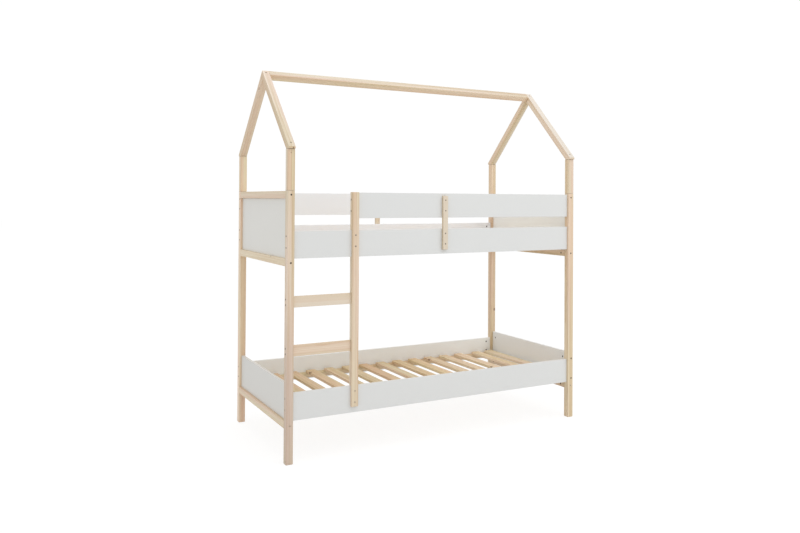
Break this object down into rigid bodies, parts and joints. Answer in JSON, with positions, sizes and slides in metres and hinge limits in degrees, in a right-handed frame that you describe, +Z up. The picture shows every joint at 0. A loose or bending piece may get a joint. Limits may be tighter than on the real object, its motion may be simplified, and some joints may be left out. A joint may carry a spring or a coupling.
{
  "type": "bunk bed",
  "caption": "Bunk bed with a house-shaped roof frame of square pine, white side and end boards, a fixed side ladder and slatted bases.",
  "frame": {"origin": "on the floor, under the middle of the bed", "axes": "+Z up, +X to the right along the bed, -Y out of the front where the ladder is"},
  "size_m": [2.08, 1, 2.2966],
  "materials": {
    "pine": "clear matt lacquer on planed pine",
    "slat_pine": "planed pine, untreated",
    "white_board": "white satin paint on board",
    "steel": "zinc plated"
  },
  "bodies": {
    "root": {"post_front_left": "pine", "post_front_right": "pine", "post_back_left": "pine", "post_back_right": "pine", "roof_post_front_left": "pine", "roof_post_front_right": "pine", "roof_post_back_left": "pine", "roof_post_back_right": "pine", "roof_pin_front_left": "steel", "roof_pin_front_right": "steel", "roof_pin_back_left": "steel", "roof_pin_back_right": "steel", "rafter_front_left": "pine", "rafter_front_right": "pine", "rafter_back_left": "pine", "rafter_back_right": "pine", "ridge_bar": "pine", "end_top_rail_left": "pine", "end_top_rail_right": "pine", "upper_end_rail_left": "pine", "upper_end_rail_right": "pine", "lower_end_rail_left": "pine", "lower_end_rail_right": "pine", "upper_end_panel_left": "white_board", "upper_end_panel_right": "white_board", "lower_end_panel_left": "white_board", "lower_end_panel_right": "white_board", "guard_board_front": "white_board", "guard_board_back": "white_board", "upper_side_board_front": "white_board", "upper_side_board_back": "white_board", "lower_side_board_front": "white_board", "lower_side_board_back": "white_board", "cleat_front": "pine", "cleat_back": "pine", "ladder_stile": "pine", "ladder_rung_1": "pine", "ladder_rung_2": "pine", "lower_ledger_front": "slat_pine", "lower_ledger_back": "slat_pine", "upper_ledger_front": "slat_pine", "upper_ledger_back": "slat_pine", "lower_slat_1": "slat_pine", "lower_slat_2": "slat_pine", "lower_slat_3": "slat_pine", "lower_slat_4": "slat_pine", "lower_slat_5": "slat_pine", "lower_slat_6": "slat_pine", "lower_slat_7": "slat_pine", "lower_slat_8": "slat_pine", "lower_slat_9": "slat_pine", "lower_slat_10": "slat_pine", "lower_slat_11": "slat_pine", "lower_slat_12": "slat_pine", "lower_slat_13": "slat_pine", "lower_slat_14": "slat_pine", "lower_slat_15": "slat_pine", "upper_slat_section_1": "slat_pine", "upper_slat_section_2": "slat_pine", "upper_slat_section_3": "slat_pine"}
  },
  "joints": []
}
